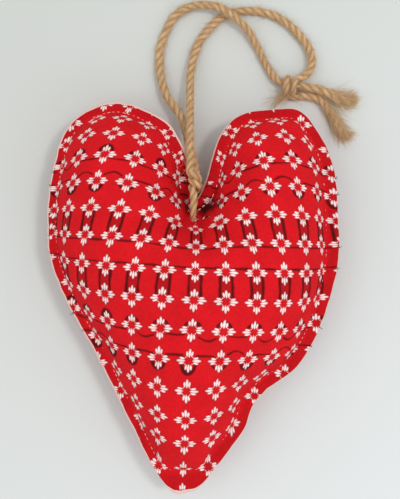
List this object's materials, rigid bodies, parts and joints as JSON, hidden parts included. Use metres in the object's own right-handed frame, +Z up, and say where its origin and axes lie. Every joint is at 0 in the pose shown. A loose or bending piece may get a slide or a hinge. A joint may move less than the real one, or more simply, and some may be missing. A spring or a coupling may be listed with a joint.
{
  "type": "stuffed fabric heart ornament",
  "caption": "Stuffed heart of red printed cotton with a raw edge outside its seam and a knotted loop of jute twine through the cleft, lying on its back.",
  "frame": {"origin": "on the resting surface, under the middle of the heart's own box, without the twine", "axes": "+Z up out of the front panel, +Y from the tip towards the lobes, +X to the right as the front is seen"},
  "size_m": [0.1209, 0.191, 0.0457],
  "materials": {
    "printed_cotton": "matt woven cotton, red with a grid of small cream flowers and rows of thin dark brown lines",
    "jute_twine": "hairy natural jute, laid from two plies, tan"
  },
  "bodies": {
    "root": {"front_panel": "printed_cotton", "back_panel": "printed_cotton", "twine_hitch": "jute_twine", "twine_right_strand": "jute_twine", "twine_left_strand": "jute_twine", "twine_knot": "jute_twine", "twine_upper_tail": "jute_twine", "twine_lower_tail": "jute_twine"}
  },
  "joints": []
}
